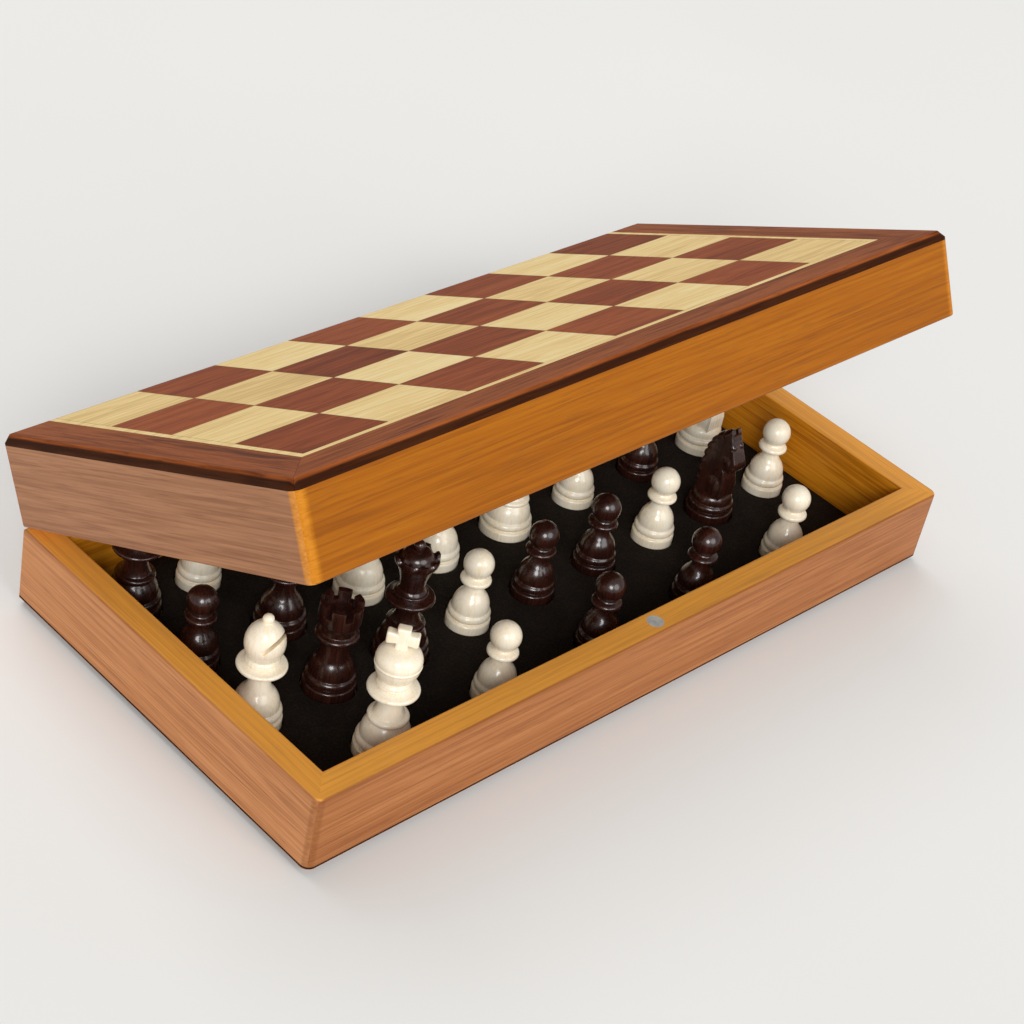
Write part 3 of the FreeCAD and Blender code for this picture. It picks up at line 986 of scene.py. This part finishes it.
lightWood = pieceFinish("lightPieceWood", pieceWood["light"], 0.15)
darkWood = pieceFinish("darkPieceWood", pieceWood["dark"], 0.5)
for node in pieceNodes:
    side, kind = node.split("_")[:2]
    model, heading = models[kind]
    piece = model.copy()
    piece.data = model.data.copy()
    piece.name = camelName(node)
    turned = Matrix.Rotation(math.radians(heading), 4, "Z")
    piece.data.transform(Matrix.Translation(standingPlace(node)) @ turned)
    piece.data.materials.clear()
    piece.data.materials.append(lightWood if side == "white" else darkWood)
    bpy.context.collection.objects.link(piece)
    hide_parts(node)
    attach(piece, node)
    "light_piece_wood" if side == "white" else "dark_piece_wood"
for model, _ in models.values():
    bpy.data.objects.remove(model)
print("chess pieces stood in their sockets:", len(pieceNodes))

# Floor, light and camera
studio = {
    "floorSize": 40,
    "floorLevel": -0.2 * mm,
    "floorTone": (232, 231, 228),
    "floorShade": 0.97,
    "world": 0.38,
    # the side each lamp shines from, how wide it looks in degrees, and its strength
    "key": ((-1.15, -1.15, 0.96), 24, 1.57),
    "fill": ((0.05, -1.25, 0.71), 38, 1.03),
    "top": ((0.15, 0.75, 1.31), 37, 0.93),
}


def makeFloor():
    deselectAll()
    bpy.ops.mesh.primitive_plane_add(size=studio["floorSize"], location=(0, 0, studio["floorLevel"]))
    floor = bpy.context.object
    floor.name = "studioFloor"
    material, wire = newFinish("paleFloor")
    place = wire.node("ShaderNodeTexCoord", {}, {}, "Object")
    cloud = place.noise(3, 2)
    pale = colour(*studio["floorTone"])
    shaded = [part * studio["floorShade"] for part in pale[:3]] + [1]
    base = cloud.ramp((0.3, shaded), (0.7, pale))
    shader = wire.node("ShaderNodeBsdfPrincipled", {}, {"Base Color": base, "Roughness": 0.9})
    wire.node("ShaderNodeOutputMaterial", {}, {"Surface": shader})
    floor.data.materials.append(material)


def softLamp(name, side, width, strength):
    lamp = bpy.data.lights.new(name, "SUN")
    lamp.angle = math.radians(width)
    lamp.energy = strength
    holder = bpy.data.objects.new(name, lamp)
    holder.location = side
    holder.rotation_euler = Vector(side).to_track_quat("Z", "Y").to_euler()
    bpy.context.collection.objects.link(holder)


makeFloor()
for name in ("key", "fill", "top"):
    softLamp(name + "Lamp", *studio[name])
world = bpy.data.worlds.new("studioWorld")
world.use_nodes = True
world.node_tree.nodes["Background"].inputs["Color"].default_value = (1, 1, 1, 1)
world.node_tree.nodes["Background"].inputs["Strength"].default_value = studio["world"]
scene = bpy.context.scene
scene.world = world
scene.view_settings.view_transform = "Standard"

cameraLook = {
    "azimuth": -50.9,
    "elevation": 35.8,
    "roll": 12.6,
    "target": (0, 0, 0.030),
    "distance": 0.818,
    "lens": 82.8,
}


def makeCamera():
    turn, lift, roll = (math.radians(cameraLook[key]) for key in ("azimuth", "elevation", "roll"))
    back = Vector((math.sin(turn) * math.cos(lift), -math.cos(turn) * math.cos(lift), math.sin(lift)))
    level = Vector((math.cos(turn), math.sin(turn), 0))
    up = back.cross(level)
    right = level * math.cos(roll) + up * math.sin(roll)
    top = up * math.cos(roll) - level * math.sin(roll)
    lens = bpy.data.cameras.new("studioCamera")
    lens.lens = cameraLook["lens"]
    lens.sensor_width = 36
    lens.clip_start = 0.01
    holder = bpy.data.objects.new("studioCamera", lens)
    facing = Matrix((right, top, back)).transposed().to_4x4()
    facing.translation = Vector(cameraLook["target"]) + back * cameraLook["distance"]
    holder.matrix_world = facing
    bpy.context.collection.objects.link(holder)
    scene.camera = holder


makeCamera()
print("studio set")

deselectAll()
